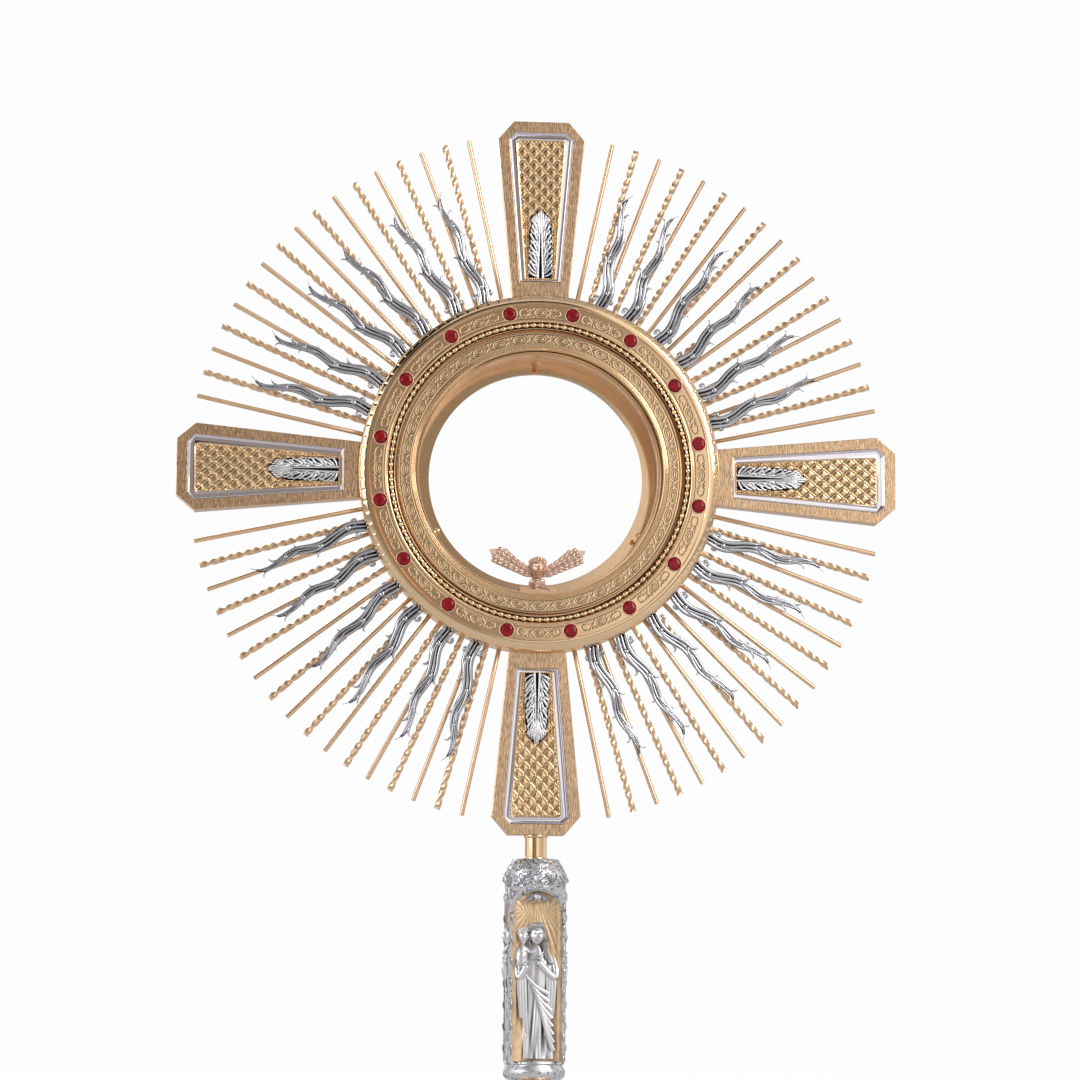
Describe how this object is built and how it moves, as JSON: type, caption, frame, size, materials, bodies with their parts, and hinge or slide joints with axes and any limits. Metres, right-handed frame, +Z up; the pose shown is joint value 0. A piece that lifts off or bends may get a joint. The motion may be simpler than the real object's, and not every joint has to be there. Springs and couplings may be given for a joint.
{
  "type": "monstrance",
  "caption": "Standing sunburst display case with a round glazed drum, red-stoned ring, rod and flame rays, four panelled arms, figured stem and round foot.",
  "frame": {"origin": "centre of the foot's underside, on the surface it stands on", "axes": "+Z up, +X to the viewer's right, and the front of the host case faces -Y"},
  "size_m": [0.516, 0.22, 0.85],
  "materials": {
    "polished_gold": "polished gold plate",
    "brushed_gold": "brushed gold plate",
    "rose_gold": "polished rose gold plate",
    "silver": "polished silver with darkened hollows",
    "steel": "turned steel",
    "clear_glass": "clear",
    "red_stone": "faceted deep red stone",
    "felt": "felt"
  },
  "bodies": {
    "stand": {"case_drum": "polished_gold", "ray_ring": "brushed_gold", "outer_ring": "polished_gold", "inner_ring": "polished_gold", "bead_ring": "polished_gold", "stone_settings": "polished_gold", "stones": "red_stone", "front_glass": "clear_glass", "front_glass_retainer": "polished_gold", "rest_pins": "polished_gold", "plain_rays_upper_right": "polished_gold", "plain_rays_lower_right": "polished_gold", "plain_rays_lower_left": "polished_gold", "plain_rays_upper_left": "polished_gold", "twisted_rays_upper_right": "polished_gold", "twisted_rays_lower_right": "polished_gold", "twisted_rays_lower_left": "polished_gold", "twisted_rays_upper_left": "polished_gold", "flame_rays_upper_right": "silver", "flame_rays_lower_right": "silver", "flame_rays_lower_left": "silver", "flame_rays_upper_left": "silver", "arm_frame_top": "brushed_gold", "arm_frame_right": "brushed_gold", "arm_frame_bottom": "brushed_gold", "arm_frame_left": "brushed_gold", "arm_tray_top": "silver", "arm_tray_right": "silver", "arm_tray_bottom": "silver", "arm_tray_left": "silver", "arm_lattice_top": "polished_gold", "arm_lattice_right": "polished_gold", "arm_lattice_bottom": "polished_gold", "arm_lattice_left": "polished_gold", "arm_leaf_top": "silver", "arm_leaf_right": "silver", "arm_leaf_bottom": "silver", "arm_leaf_left": "silver", "arm_screws": "steel", "door_catch": "polished_gold", "hinge_pin": "steel", "lunette_track": "rose_gold", "upper_collar": "polished_gold", "figure_node": "silver", "niche_figures": "silver", "lower_collar": "polished_gold", "knop": "polished_gold", "foot": "polished_gold", "foot_beads": "polished_gold", "base_pad": "felt", "tie_rod": "steel", "tie_nut": "steel"},
    "door": {"door_ring": "polished_gold", "door_glass": "clear_glass", "door_glass_retainer": "polished_gold", "door_knob": "polished_gold"},
    "lunette": {"lunette_shoe": "rose_gold", "lunette_cherub": "rose_gold", "lunette_pin": "steel"},
    "lunette_leaf": {"lunette_rear_leaf": "rose_gold"}
  },
  "joints": [
    {"name": "door_hinge", "type": "hinge", "parent": "stand", "child": "door", "pos_m": [0.0965, 0.02715, 0.592], "axis": [0, 0, -1], "range_deg": [0, 110]},
    {"name": "lunette_slide", "type": "slide", "parent": "stand", "child": "lunette", "axis": [0, 1, 0], "range_m": [0, 0.008]},
    {"name": "lunette_leaf_hinge", "type": "hinge", "parent": "lunette", "child": "lunette_leaf", "pos_m": [0, 0.0072, 0.5134], "axis": [-1, 0, 0], "range_deg": [0, 12], "stiffness_Nm_per_rad": 0.02}
  ]
}
